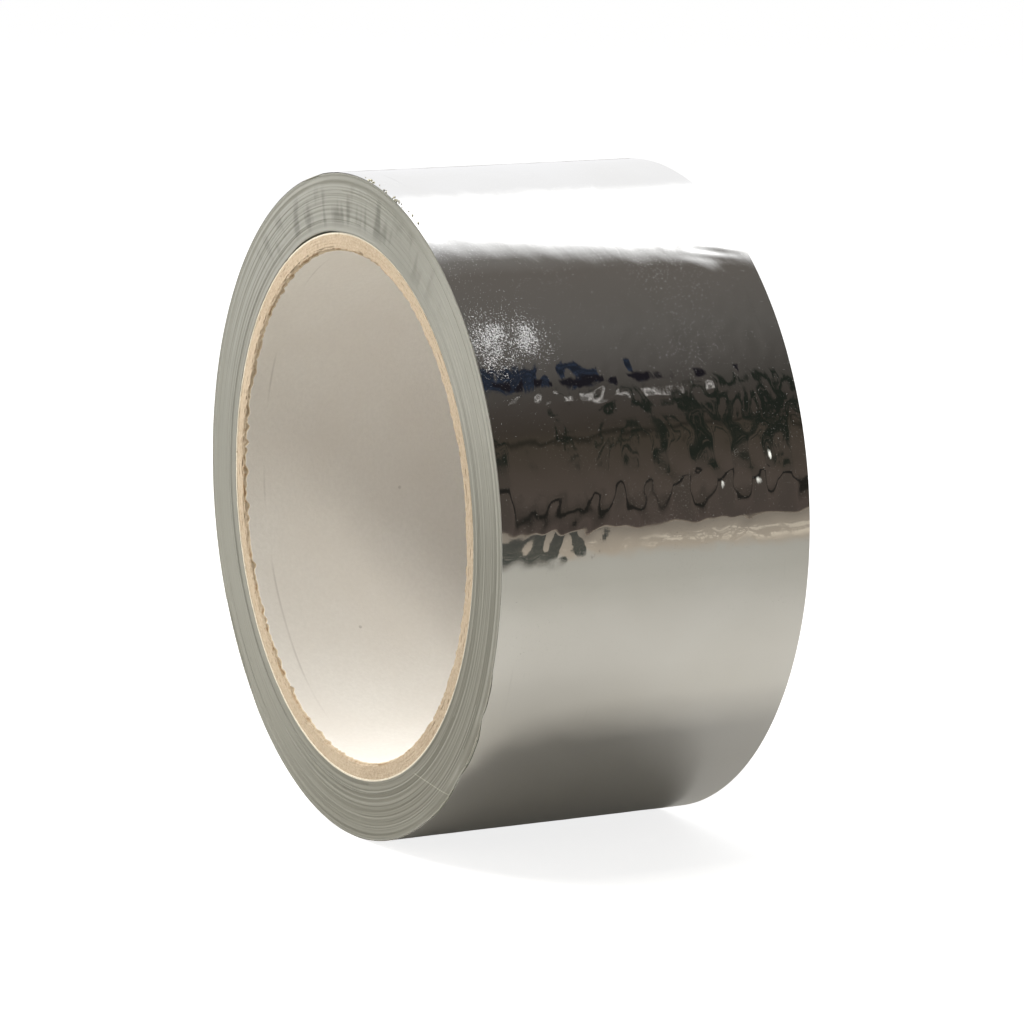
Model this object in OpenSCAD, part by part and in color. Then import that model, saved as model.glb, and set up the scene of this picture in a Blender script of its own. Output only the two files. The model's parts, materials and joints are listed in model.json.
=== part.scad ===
// A roll of linerless aluminium foil duct tape on a spiral wound board core.
// The roll stands on its rim. The bore runs along Y, and the origin is in the middle of the bore.

/* [Core] */
// Diameter of the bore, a standard 3 inch core
bore_d = 76.2; // [70:0.1:82]
// Width of the core along the bore
core_w = 50; // [30:0.5:80]
// Thickness of the white paper that lines the bore
liner_t = 0.25; // [0.15:0.05:0.5]
// Number of board plies wound over the lining
ply_count = 5; // [3:1:7]
// Thickness of one board ply
ply_t = 0.45; // [0.3:0.05:0.6]
// Thickness of the smooth ply that the tape is wound on
outer_ply_t = 0.25; // [0.15:0.05:0.5]
// Width of the strip that a board ply is wound from
strip_w = 125; // [100:5:150]
// Gap between a ply's edges where they meet
seam_gap = 0.4; // [0.2:0.1:1]

/* [Tape] */
// Outside diameter of the full roll
roll_d = 99.6; // [95:0.1:140]
// Width of the tape
tape_w = 49.9; // [29.9:0.1:79.9]
// Thickness of the aluminium foil
foil_t = 0.03; // [0.03:0.01:0.06]
// Thickness of the adhesive under the foil
adhesive_t = 0.02; // [0.02:0.01:0.04]
// Furthest that a wrap wanders to one side
wander = 0.05; // [0.02:0.01:0.1]
// Number of bands of wraps that wander together
band_count = 18; // [6:1:30]

/* [Free end] */
// Where the free end starts to peel, from +X towards +Z
peel_angle = 150; // [130:1:160]
// Number of segments that stand for the flexible free end
segment_count = 6; // [3:1:8]
// Length of one segment along the tape
segment_len = 8; // [5:0.5:8]
// Gap between neighbouring segments
segment_gap = 0.1; // [0.05:0.01:0.2]
// Clearance under the free end, which can be peeled
peel_gap = 0.02; // [0.01:0.01:0.05]

/* [Hidden] */
$fn = 180;

tape_t = foil_t + adhesive_t;
liner_r = bore_d / 2;
board_r = liner_r + liner_t;
outer_ply_r = board_r + ply_count * ply_t;
core_r = outer_ply_r + outer_ply_t;
roll_r = roll_d / 2;

// The winding is a spiral of half turns. Each half turn is a true arc, and its radius is
// half a tape thickness more than the one before. The two centres lie half a tape thickness
// apart, so the arcs join smoothly. In the winding's own frame the spiral's step is at 180 degrees.
half_step = tape_t / 2;
centre_shift = half_step / 2;
upper_r = roll_r - centre_shift;
lower_r = upper_r - half_step;

// The free end continues the spiral over the lower half turn
free_r = lower_r + peel_gap;
segment_angle = segment_len / free_r * 180 / PI;
gap_angle = segment_gap / free_r * 180 / PI;

// Extra length on tools that cut right through
cut = 1;
// Steps in which a seam's twist is drawn
seam_slices = 20;

liner_colour = [0.93, 0.92, 0.90];
board_colour = [0.78, 0.65, 0.47];
outer_ply_colour = [0.86, 0.80, 0.69];
wound_colour = [0.60, 0.62, 0.60];
foil_colour = [0.80, 0.81, 0.82];
adhesive_colour = [0.85, 0.84, 0.76];

// Inner radius of board ply number i, counted from 1
function ply_r(i) = board_r + (i - 1) * ply_t;

// Angle that a strip turns through from one end of the core to the other
function strip_turn(r) = core_w / tan(asin(strip_w / (2 * PI * r))) / r * 180 / PI;

// Distance that wrap band number i has wandered from the middle
function band_shift(i) = wander * sin(137.5 * i) * sin(53 * i + 20);

// Inner radius of wrap band number i. The bands differ in width.
function band_r(i) = core_r + (roll_r - core_r) * (i + 0.35 * sin(101 * i) * sign(i)) / band_count;

// Turns a shape made around Z so that its axis is the bore, with its angles from +X towards +Z
module on_bore() {
    rotate([90, 0, 0]) children();
}

// A plain tube, centred along the bore
module tube(r, t, w) {
    rotate_extrude() translate([r, -w / 2]) square([t, w]);
}

// A slot across a ply that follows the strip's edge from one end of the core to the other
module butt_seam(r, t, turn) {
    full_turn = turn * (core_w + 2 * cut) / core_w;
    linear_extrude(height = core_w + 2 * cut, center = true, twist = full_turn,
        slices = seam_slices, segments = 4)
        translate([r + t / 2, 0])
            square([t + 2 * cut, seam_gap], center = true);
}

// One board ply: a single strip wound into a tube, with its edges nearly meeting
module core_ply(i) {
    color(board_colour) on_bore() difference() {
        tube(ply_r(i), ply_t, core_w);
        rotate(i * 360 / ply_count) butt_seam(ply_r(i), ply_t, strip_turn(ply_r(i)));
    }
}

module core_liner() {
    color(liner_colour) on_bore() tube(liner_r, liner_t, core_w);
}

module core_outer_ply() {
    color(outer_ply_colour) on_bore() tube(outer_ply_r, outer_ply_t, core_w);
}

// An arc of the winding: a strip of thickness t inside radius r, between two angles
module arc_layer(r, t, w, from, to) {
    rotate_extrude(angle = to - from, start = from)
        translate([r - t, -w / 2]) square([t, w]);
}

// The winding's own frame: its step lies at the peel line
module in_winding() {
    on_bore() rotate(peel_angle - 180) children();
}

// The upper half turn's centre
module upper_centre() {
    translate([-centre_shift, 0, 0]) children();
}

// The lower half turn's centre
module lower_centre() {
    translate([centre_shift, 0, 0]) children();
}

// One whole turn of the winding, under outer radii inset by depth
module full_wrap(depth, t) {
    upper_centre() arc_layer(upper_r - depth, t, tape_w, 0, 180);
    lower_centre() arc_layer(lower_r - depth, t, tape_w, 180, 360);
}

// Everything inside the last wrap, as one solid in the shape of the spiral's outline
module spiral_body() {
    body_w = tape_w + 4 * wander;
    upper_centre() arc_layer(upper_r - tape_t, upper_r - tape_t, body_w, 0, 180);
    lower_centre() arc_layer(lower_r - tape_t, lower_r - tape_t, body_w, 180, 360);
}

// All the wraps between the core and the last one. Each band of wraps sits a little to one
// side, which leaves fine rings on the two end faces.
module wound_tape() {
    near_side = [for (i = [0:band_count - 1], k = [0, 1])
        [band_r(i + k), band_shift(i) - tape_w / 2]];
    far_side = [for (i = [band_count - 1:-1:0], k = [1, 0])
        [band_r(i + k), band_shift(i) + tape_w / 2]];
    color(wound_colour) in_winding() intersection() {
        rotate_extrude() polygon(concat(near_side, far_side));
        spiral_body();
    }
}

module outer_wrap_adhesive() {
    color(adhesive_colour) in_winding() full_wrap(foil_t, adhesive_t);
}

module outer_wrap_foil() {
    color(foil_colour) in_winding() full_wrap(0, foil_t);
}

// Layer of thickness t in segment number i of the free end, with its outside at radius r
module free_end_layer(i, r, t) {
    from = 180 + (i - 1) * segment_angle + gap_angle / 2;
    in_winding() lower_centre()
        arc_layer(r, t, tape_w, from, from + segment_angle - gap_angle);
}

module free_end_adhesive(i) {
    color(adhesive_colour) free_end_layer(i, free_r + adhesive_t, adhesive_t);
}

module free_end_foil(i) {
    color(foil_colour) free_end_layer(i, free_r + tape_t, foil_t);
}

core_liner();
for (i = [1:ply_count])
    core_ply(i);
core_outer_ply();
wound_tape();
outer_wrap_adhesive();
outer_wrap_foil();
for (i = [1:segment_count])
    free_end_adhesive(i);
for (i = [1:segment_count])
    free_end_foil(i);
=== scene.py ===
"""Looks of a roll of aluminium foil duct tape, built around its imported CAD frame.

The roll stands on its rim with its bore along Y. Angles run from +X towards +Z. The foil strip is
described by how far along it a point lies (0 at the peel line, positive on the free end, negative
round the roll) and by its place across the width. Lengths are metres.
"""
import json
import math

import bpy
import mathutils
import numpy as np
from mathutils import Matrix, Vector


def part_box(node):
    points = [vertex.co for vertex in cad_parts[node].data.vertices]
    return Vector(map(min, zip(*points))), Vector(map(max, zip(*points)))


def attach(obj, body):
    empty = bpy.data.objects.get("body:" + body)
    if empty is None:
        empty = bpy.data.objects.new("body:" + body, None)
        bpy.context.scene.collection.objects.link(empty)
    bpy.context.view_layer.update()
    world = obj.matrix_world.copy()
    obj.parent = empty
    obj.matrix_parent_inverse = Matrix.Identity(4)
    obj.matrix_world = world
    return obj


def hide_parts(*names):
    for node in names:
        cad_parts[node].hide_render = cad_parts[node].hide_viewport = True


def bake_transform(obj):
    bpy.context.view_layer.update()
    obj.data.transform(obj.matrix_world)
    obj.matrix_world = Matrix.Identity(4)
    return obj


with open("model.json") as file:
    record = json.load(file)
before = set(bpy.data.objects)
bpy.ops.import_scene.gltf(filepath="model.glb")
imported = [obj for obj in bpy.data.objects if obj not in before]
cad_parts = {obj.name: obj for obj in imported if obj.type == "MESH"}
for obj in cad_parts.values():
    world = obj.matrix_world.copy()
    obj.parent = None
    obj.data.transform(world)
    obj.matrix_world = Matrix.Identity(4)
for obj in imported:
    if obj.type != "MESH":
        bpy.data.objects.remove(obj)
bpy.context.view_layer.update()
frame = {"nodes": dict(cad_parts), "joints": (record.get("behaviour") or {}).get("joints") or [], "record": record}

MM = 0.001


# -------------------- places worked out from the frame

def half_extent(node, axis):
    """Half of a node's size along X, Y or Z (0, 1 or 2)."""
    low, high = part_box(node)
    return (high[axis] - low[axis]) / 2


def outer_radius(node):
    return half_extent(node, 2)


PLY_NODES = sorted(name for name in frame["nodes"] if name.startswith("core_ply_"))
SEGMENTS = sum(name.startswith("free_end_foil_") for name in frame["nodes"])
BORE_R = frame["record"]["mounts"][0]["dims"]["r_mm"] * MM
LINER_R = outer_radius("core_liner")
OUTER_PLY_R = outer_radius("core_ply_5")
CORE_R = outer_radius("core_outer_ply")
ROLL_R = outer_radius("outer_wrap_foil")
CORE_HALF = half_extent("core_liner", 1)
TAPE_HALF = half_extent("outer_wrap_foil", 1)

HINGES = [joint["pos_m"] for joint in frame["joints"]]
PEEL = math.atan2(HINGES[0][2], HINGES[0][0])
HINGE_ANGLES = [(math.atan2(h[2], h[0]) - PEEL) % (2 * math.pi) for h in HINGES]
SEGMENT_ANGLE = HINGE_ANGLES[1]
SEGMENT_LENGTH = SEGMENT_ANGLE * ROLL_R
FREE_LENGTH = SEGMENTS * SEGMENT_LENGTH
WRAP_LENGTH = 2 * math.pi * ROLL_R

FOIL_T = 0.03 * MM
GLUE_T = 0.02 * MM
TAPE_T = FOIL_T + GLUE_T
PEEL_GAP = 0.02 * MM
# The free end's film is a little thinner than the roll's
FREE_FILM_T = GLUE_T * 0.9


# -------------------- camera

VIEW_AZIMUTH = math.radians(62.53)
VIEW_ELEVATION = math.radians(9.45)
VIEW_DISTANCE = 0.706
VIEW_TARGET = (1.4 * MM, 1.7 * MM, -2.5 * MM)
LENS = 164.4


def add_camera():
    data = bpy.data.cameras.new("camera")
    data.sensor_width = 36
    data.lens = LENS
    data.clip_start = 0.01
    data.clip_end = 50
    camera = bpy.data.objects.new("camera", data)
    bpy.context.scene.collection.objects.link(camera)
    back = np.array([
        math.sin(VIEW_AZIMUTH) * math.cos(VIEW_ELEVATION),
        -math.cos(VIEW_AZIMUTH) * math.cos(VIEW_ELEVATION),
        math.sin(VIEW_ELEVATION),
    ])
    camera.location = np.array(VIEW_TARGET) + back * VIEW_DISTANCE
    camera.rotation_euler = (math.pi / 2 - VIEW_ELEVATION, 0, VIEW_AZIMUTH)
    bpy.context.scene.camera = camera


add_camera()


# -------------------- shader helpers

# Name of the UV map that holds the place along and across the strip, in metres
STRIP_UV = "strip"


class Nodes:
    """Adds shader nodes to one tree and links them, so that a material reads as a formula."""

    def __init__(self, tree):
        self.tree = tree

    def add(self, kind, **settings):
        node = self.tree.nodes.new("ShaderNode" + kind)
        for name, value in settings.items():
            setattr(node, name, value)
        return node

    def put(self, node, socket, value):
        """Links value to a socket if it is a node's output, or else sets it there."""
        target = node.inputs[socket]
        if isinstance(value, bpy.types.NodeSocket):
            self.tree.links.new(value, target)
        else:
            target.default_value = value

    def math(self, operation, a, b=0.0):
        node = self.add("Math", operation=operation)
        self.put(node, 0, a)
        if node.inputs[1].enabled:
            self.put(node, 1, b)
        return node.outputs[0]

    def times(self, first, *others):
        for other in others:
            first = self.math("MULTIPLY", first, other)
        return first

    def plus(self, first, *others):
        for other in others:
            first = self.math("ADD", first, other)
        return first

    def minus(self, a, b):
        return self.math("SUBTRACT", a, b)

    def combine(self, x, y, z):
        node = self.add("CombineXYZ")
        for socket, value in enumerate((x, y, z)):
            self.put(node, socket, value)
        return node.outputs[0]

    def object_xyz(self):
        split = self.add("SeparateXYZ")
        self.put(split, 0, self.add("TexCoord").outputs["Object"])
        return split.outputs[0], split.outputs[1], split.outputs[2]

    def polar(self):
        """Radius from the bore's axis, place along it and angle round it, in the object's own frame."""
        x, y, z = self.object_xyz()
        radius = self.math("SQRT", self.plus(self.times(x, x), self.times(z, z)))
        return radius, y, self.math("ARCTAN2", z, x)

    def strip(self):
        """Place along and across the strip, in metres."""
        split = self.add("SeparateXYZ")
        self.put(split, 0, self.add("UVMap", uv_map=STRIP_UV).outputs[0])
        return split.outputs[0], split.outputs[1]

    def noise(self, vector, scale, detail=2.0, roughness=0.5, distortion=0.0):
        node = self.add("TexNoise")
        self.put(node, "Vector", vector)
        self.put(node, "Scale", scale)
        self.put(node, "Detail", detail)
        self.put(node, "Roughness", roughness)
        self.put(node, "Distortion", distortion)
        return node.outputs["Fac"]

    def stretched_noise(self, a, a_scale, b, b_scale, c, detail, roughness, distortion=0.0):
        """Noise whose grain is drawn out by different amounts along two or three coordinates."""
        place = self.combine(self.times(a, a_scale), self.times(b, b_scale), c)
        return self.noise(place, 1.0, detail, roughness, distortion)

    def cells(self, vector, scale):
        """Distance from the nearest of many scattered points."""
        node = self.add("TexVoronoi", feature="F1")
        self.put(node, "Vector", vector)
        self.put(node, "Scale", scale)
        return node.outputs["Distance"]

    def remap(self, value, from_low, from_high, to_low=0.0, to_high=1.0, smooth=False):
        """value, stretched from one range to another, and held at that range's ends."""
        kind = "SMOOTHSTEP" if smooth else "LINEAR"
        node = self.add("MapRange", clamp=True, interpolation_type=kind)
        for socket, number in enumerate((value, from_low, from_high, to_low, to_high)):
            self.put(node, socket, number)
        return node.outputs[0]

    def band(self, value, low, high, soft):
        """One between low and high, and nought outside, with soft edges."""
        above = self.remap(value, low - soft, low + soft, smooth=True)
        below = self.remap(value, high - soft, high + soft, 1.0, 0.0, smooth=True)
        return self.times(above, below)

    def shifted(self, value, texture, amount):
        """value, moved up and down by a texture that runs from nought to one."""
        return self.plus(value, self.times(self.minus(texture, 0.5), amount))

    def ramp(self, value, stops):
        node = self.add("ValToRGB")
        elements = node.color_ramp.elements
        while len(elements) < len(stops):
            elements.new(0.5)
        for element, (position, colour) in zip(elements, stops):
            element.position = position
            element.color = (*colour, 1)
        self.put(node, 0, value)
        return node.outputs[0]

    def mix(self, factor, a, b):
        """Colour a where factor is nought, and colour b where it is one."""
        node = self.add("Mix", data_type="RGBA")
        self.put(node, 0, factor)
        self.put(node, 6, a if isinstance(a, bpy.types.NodeSocket) else (*a, 1))
        self.put(node, 7, b if isinstance(b, bpy.types.NodeSocket) else (*b, 1))
        return node.outputs[2]

    def bump(self, height, distance, strength=1.0, normal=None):
        node = self.add("Bump")
        self.put(node, "Height", height)
        self.put(node, "Distance", distance)
        self.put(node, "Strength", strength)
        if normal is not None:
            self.put(node, "Normal", normal)
        return node.outputs[0]


def new_material(name):
    material = bpy.data.materials.new(name)
    material.use_nodes = True
    tree = material.node_tree
    return material, Nodes(tree), tree.nodes["Principled BSDF"]


def arc_place(degrees):
    """Place along the strip of the rim's point at this angle, from +X towards +Z."""
    return (math.radians(degrees) - PEEL) * ROLL_R


# -------------------- materials

# Frosty rubbed spots on the foil: angle in degrees, place across and radius in metres
FROST = [(35, -22 * MM, 8 * MM), (35.5, -15.5 * MM, 6 * MM)]
# Distance of the scored line from the near end of the lining
SCORE_PLACE = 3.9 * MM
# Slope by which the wound end face looks rounded, from its middle outwards
EDGE_ROUNDING = 0.26
# Where the scratch on the end face starts along X and Z, and how far it drops for each step along X
SCRATCH_X = 22 * MM
SCRATCH_Z = -36.1 * MM
SCRATCH_DROP = 0.099


def frosty_spots(nodes, along, across):
    """One in the middle of each rubbed spot and nought at its edge, broken up into small patches."""
    frost = 0.0
    for angle, middle, spread in FROST:
        offset = nodes.combine(nodes.minus(along, arc_place(angle)), nodes.minus(across, middle), 0.0)
        length = nodes.add("VectorMath", operation="LENGTH")
        nodes.put(length, 0, offset)
        spot = nodes.remap(length.outputs["Value"], spread, 0.1 * spread, smooth=True)
        frost = nodes.math("MAXIMUM", frost, spot)
    place = nodes.combine(along, across, 0.0)
    return nodes.times(frost, nodes.remap(nodes.noise(place, 330, 3, 0.7), 0.25, 0.6, 0.15, 1.0))


def foil_material():
    """Bright rolled foil: rolling lines along the strip, rubbed frosty spots, fine scratches and specks."""
    material, nodes, shader = new_material("foil")
    along, across = nodes.strip()
    place = nodes.combine(along, across, 0.0)
    rolling = nodes.stretched_noise(along, 30, across, 2500, 0.0, 3, 0.6)
    grain = nodes.noise(place, 3500, 2, 0.6)
    glitter = nodes.noise(place, 3500, 3, 0.75)
    dull = nodes.remap(nodes.noise(place, 75, 3, 0.6, 0.6), 0.56, 0.8)
    frost = frosty_spots(nodes, along, across)
    haze = nodes.remap(nodes.noise(place, 60, 4, 0.6), 0.35, 0.75, 0.0, 0.10)
    scratch_run = nodes.plus(along, nodes.times(across, 0.7))
    scratches = nodes.stretched_noise(scratch_run, 45, across, 800, 3.0, 4, 0.5)
    scratch = nodes.remap(scratches, 0.68, 0.74)

    paler = nodes.remap(nodes.noise(place, 45, 2), 0.35, 0.7)
    tint = nodes.mix(paler, (0.885, 0.88, 0.865), (0.93, 0.93, 0.925))
    nodes.put(shader, "Base Color", nodes.mix(nodes.times(scratch, 0.25), tint, (0.72, 0.71, 0.70)))
    shader.inputs["Metallic"].default_value = 1.0

    speckle = nodes.remap(nodes.plus(glitter, nodes.plus(nodes.times(frost, 0.23), haze)), 0.70, 0.87)
    rough = nodes.plus(nodes.times(dull, 0.07), nodes.times(rolling, 0.04))
    rough = nodes.plus(rough, nodes.times(speckle, 0.38))
    nodes.put(shader, "Roughness", nodes.plus(rough, nodes.times(scratch, 0.15)))

    slanted_run = nodes.plus(across, nodes.times(along, 0.45))
    streaks = nodes.stretched_noise(slanted_run, 800, along, 330, 7.0, 2, 0.5)
    streak_bump = nodes.bump(streaks, 0.0014 * MM)
    fine = nodes.plus(nodes.times(grain, 0.35), nodes.times(rolling, 0.5))
    fine_bump = nodes.bump(fine, 0.0006 * MM, normal=streak_bump)
    sparkle = nodes.times(nodes.noise(place, 3600, 2, 0.6), speckle)
    nodes.put(shader, "Normal", nodes.bump(sparkle, 0.06 * MM, normal=fine_bump))
    return material


def glue_material():
    """Clear tacky adhesive over the foil's back."""
    material, nodes, shader = new_material("adhesive")
    along, across = nodes.strip()
    place = nodes.combine(along, across, 0.0)
    cloudy = nodes.noise(place, 220, 3, 0.6)
    nodes.put(shader, "Base Color", nodes.mix(cloudy, (0.70, 0.69, 0.62), (0.82, 0.81, 0.75)))
    shader.inputs["Metallic"].default_value = 0.55
    nodes.put(shader, "Roughness", nodes.remap(cloudy, 0.3, 0.7, 0.22, 0.42))
    nodes.put(shader, "Normal", nodes.bump(nodes.noise(place, 900, 2), 0.02 * MM))
    return material


def ring_colours(nodes, radius, along, angle, low_side):
    """Rings round the end face, with more contrast low down: their texture, tone and colour."""
    rings = nodes.stretched_noise(radius, 7000, angle, 1.2, along, 2, 0.7)
    bands = nodes.stretched_noise(radius, 1300, angle, 0.6, along, 2, 0.6)
    contrast = nodes.plus(0.15, nodes.times(low_side, 0.6))
    tone = nodes.plus(0.5, nodes.times(nodes.minus(rings, 0.5), contrast))
    colour = nodes.ramp(tone, [
        (0.3, (0.165, 0.165, 0.14)),
        (0.45, (0.265, 0.265, 0.23)),
        (0.6, (0.315, 0.31, 0.27)),
        (0.72, (0.43, 0.42, 0.37)),
    ])
    colour = nodes.mix(nodes.remap(bands, 0.35, 0.65, 0.0, 0.2), colour, (0.30, 0.295, 0.255))
    return rings, tone, colour


def edge_material():
    """The slit edges of many wraps, seen as one grey-green face with fine rings, dark radial fingers at the top, a
    painted highlight of brushed streaks on the upper right, and a scratch.
    """
    material, nodes, shader = new_material("wound_edge")
    radius, along, angle = nodes.polar()
    x, y, z = nodes.object_xyz()
    rings, ring_tone, colour = ring_colours(nodes, radius, along, angle, nodes.remap(z, 0.02, -0.045))

    # Dark radial fingers across the top of the face, between the rim and the core.
    fingers = nodes.stretched_noise(angle, 19, radius, 110, along, 1, 0.5)
    fingers = nodes.remap(fingers, 0.48, 0.66, smooth=True)
    top_side = nodes.remap(z, 0.031, 0.04)
    below_rim = nodes.remap(radius, 0.0485, 0.0465)
    above_core = nodes.remap(radius, 0.0415, 0.043)
    dark_fingers = nodes.times(fingers, top_side, below_rim, above_core)
    colour = nodes.mix(nodes.times(dark_fingers, 0.8), colour, (0.15, 0.15, 0.125))

    # Painted highlight: the upper right is lightened, most along the brushed streaks, as if the brushed rings
    # caught the light there.
    brushed = nodes.stretched_noise(angle, 9, radius, 4500, along, 3, 0.6)
    brushed = nodes.remap(brushed, 0.6, 0.72)
    upper_right = nodes.times(nodes.remap(x, 0.018, 0.034), nodes.remap(z, 0.0, 0.02))
    painted_sheen = nodes.times(upper_right, nodes.plus(0.3, nodes.times(brushed, 0.45)))
    colour = nodes.mix(painted_sheen, colour, (0.60, 0.59, 0.53))

    drop = nodes.times(nodes.minus(x, SCRATCH_X), SCRATCH_DROP)
    from_line = nodes.math("ABSOLUTE", nodes.plus(nodes.plus(z, -SCRATCH_Z), drop))
    scratch = nodes.remap(from_line, 0.03 * MM, 0.1 * MM, 1.0, 0.0)
    past_start = nodes.remap(x, SCRATCH_X - 0.5 * MM, SCRATCH_X)
    near_face = nodes.remap(y, 0.0, -0.001)
    scratch = nodes.times(scratch, past_start, near_face)
    colour = nodes.mix(nodes.times(scratch, 0.6), colour, (0.62, 0.60, 0.53))

    nodes.put(shader, "Base Color", colour)
    shader.inputs["Metallic"].default_value = 0.45
    nodes.put(shader, "Roughness", nodes.remap(rings, 0.3, 0.7, 0.36, 0.5))
    shader.inputs["Anisotropic"].default_value = 0.5
    nodes.put(shader, "Tangent", nodes.add("Tangent", direction_type="RADIAL", axis="Y").outputs[0])
    rounding = nodes.bump(nodes.times(radius, -EDGE_ROUNDING), 1.0)
    nodes.put(shader, "Normal", nodes.bump(ring_tone, 0.03 * MM, normal=rounding))
    return material


def board_material(name, dark, light):
    """Kraft board: short fibres, flecks and soft stains, with torn brown fibres beside the lining."""
    material, nodes, shader = new_material(name)
    radius, along, angle = nodes.polar()
    place = nodes.combine(*nodes.object_xyz())
    fibres = nodes.stretched_noise(radius, 3000, angle, 75, nodes.times(along, 1500), 4, 0.7, 0.4)
    fuzz = nodes.noise(place, 2600, 3, 0.65)
    flecks = nodes.remap(nodes.noise(place, 1100, 2, 0.5), 0.65, 0.73)
    stain = nodes.noise(place, 90, 2)
    colour = nodes.mix(nodes.remap(fibres, 0.3, 0.72), dark, light)
    colour = nodes.mix(nodes.remap(stain, 0.35, 0.7, 0.0, 0.35), colour, light)
    colour = nodes.mix(nodes.times(flecks, 0.4), colour, tuple(c * 0.6 for c in dark))
    beside_lining = nodes.remap(radius, LINER_R + 0.3 * MM, LINER_R + 0.05 * MM)
    torn = nodes.times(beside_lining, nodes.remap(nodes.noise(place, 420, 3, 0.6), 0.5, 0.6))
    colour = nodes.mix(nodes.times(torn, 0.7), colour, (0.30, 0.185, 0.09))
    nodes.put(shader, "Base Color", colour)
    shader.inputs["Roughness"].default_value = 0.95
    shader.inputs["Specular IOR Level"].default_value = 0.2
    nodes.put(shader, "Normal", nodes.bump(fuzz, 0.10 * MM, 0.7))
    return material


def paper_material():
    """White paper lining: fine felt texture, faint clouds, grey specks, and a scored line near one end."""
    material, nodes, shader = new_material("white_paper")
    radius, along, _ = nodes.polar()
    x, y, z = nodes.object_xyz()
    place = nodes.combine(x, y, z)
    felt = nodes.noise(place, 1500, 4, 0.65)
    cloud = nodes.noise(place, 55, 3, 0.55)
    colour = nodes.mix(nodes.remap(felt, 0.3, 0.7), (0.735, 0.71, 0.67), (0.79, 0.765, 0.725))
    colour = nodes.mix(nodes.remap(cloud, 0.35, 0.65, 0.0, 0.5), colour, (0.71, 0.67, 0.62))

    specks = nodes.remap(nodes.cells(place, 210), 0.045, 0.075, 1.0, 0.0)
    speck_here = nodes.remap(nodes.noise(place, 150, 1), 0.56, 0.62)
    colour = nodes.mix(nodes.times(specks, speck_here, 0.55), colour, (0.25, 0.23, 0.2))

    waver = nodes.times(nodes.noise(place, 40, 1), 0.6 * MM)
    from_score = nodes.math("ABSOLUTE", nodes.plus(along, CORE_HALF - SCORE_PLACE, waver))
    score = nodes.remap(from_score, 0.05 * MM, 0.25 * MM, 1.0, 0.0, smooth=True)
    score_side = nodes.remap(x, -0.012, -0.022)
    score_side = nodes.times(score_side, nodes.remap(nodes.noise(place, 90, 1), 0.4, 0.6))
    colour = nodes.mix(nodes.times(score, score_side, 0.3), colour, (0.30, 0.27, 0.24))

    cut_end = nodes.remap(radius, BORE_R + 0.02 * MM, BORE_R + 0.08 * MM)
    nodes.put(shader, "Base Color", nodes.mix(cut_end, colour, (0.55, 0.45, 0.32)))
    shader.inputs["Roughness"].default_value = 0.9
    shader.inputs["Specular IOR Level"].default_value = 0.25
    nodes.put(shader, "Normal", nodes.bump(felt, 0.05 * MM))
    return material


def crumb_material():
    """Dried adhesive and dust caught on the roll's edge."""
    material, nodes, shader = new_material("crumbs")
    place = nodes.combine(*nodes.object_xyz())
    grain = nodes.noise(place, 2400, 3, 0.6)
    colour = nodes.mix(nodes.remap(grain, 0.35, 0.65), (0.50, 0.48, 0.36), (0.72, 0.70, 0.58))
    nodes.put(shader, "Base Color", colour)
    nodes.put(shader, "Roughness", nodes.remap(grain, 0.3, 0.7, 0.45, 0.75))
    nodes.put(shader, "Normal", nodes.bump(grain, 0.05 * MM))
    return material


FOIL = foil_material()
GLUE = glue_material()
EDGE = edge_material()
BOARD = board_material("kraft_board", (0.38, 0.295, 0.205), (0.56, 0.465, 0.35))
PALE_BOARD = board_material("pale_board", (0.64, 0.58, 0.46), (0.79, 0.74, 0.63))
PAPER = paper_material()
CRUMBS = crumb_material()


# -------------------- surface relief

def wave_surface(length, heading, phase, slant=0.0, stretch=1.0):
    """A smooth surface of unit height, from waves of these lengths, headings and phases.

    slant leans the waves, and stretch draws them out across the strip.
    """
    along = 2 * math.pi / length * np.cos(heading)
    across = 2 * math.pi / length * np.sin(heading) / stretch + slant * along
    weight = length / np.sqrt(np.sum(length ** 2) / 2)

    def height(s, y):
        total = np.zeros(np.broadcast(s, y).shape)
        for ka, kc, p, w in zip(along, across, phase, weight):
            total += w * np.cos(ka * s + kc * y + p)
        return total

    return height


def ripple(seed, count, shortest, longest, slant=0.0, stretch=1.0):
    """Random waves that run in all directions."""
    rng = np.random.default_rng(seed)
    length = shortest * (longest / shortest) ** rng.random(count)
    heading = rng.random(count) * 2 * math.pi
    phase = rng.random(count) * 2 * math.pi
    return wave_surface(length, heading, phase, slant, stretch)


def slanted_ripple(seed, count, shortest, longest, heading, spread):
    """Random waves that all run near one heading, so that their crests lie in slanted streaks."""
    rng = np.random.default_rng(seed)
    length = shortest * (longest / shortest) ** rng.random(count)
    turned = heading + spread * rng.normal(0, 1, count)
    phase = rng.random(count) * 2 * math.pi
    return wave_surface(length, turned, phase)


broad_waves = ripple(3, 24, 12 * MM, 40 * MM, stretch=1.5)
middle_waves = ripple(5, 40, 5 * MM, 11 * MM, slant=0.5)
fine_waves = ripple(8, 60, 2.2 * MM, 4.5 * MM, slant=-0.4)
slanted_waves = slanted_ripple(17, 40, 2.0 * MM, 4.5 * MM, math.radians(48), math.radians(16))
patch_waves = ripple(13, 20, 14 * MM, 30 * MM)

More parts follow.
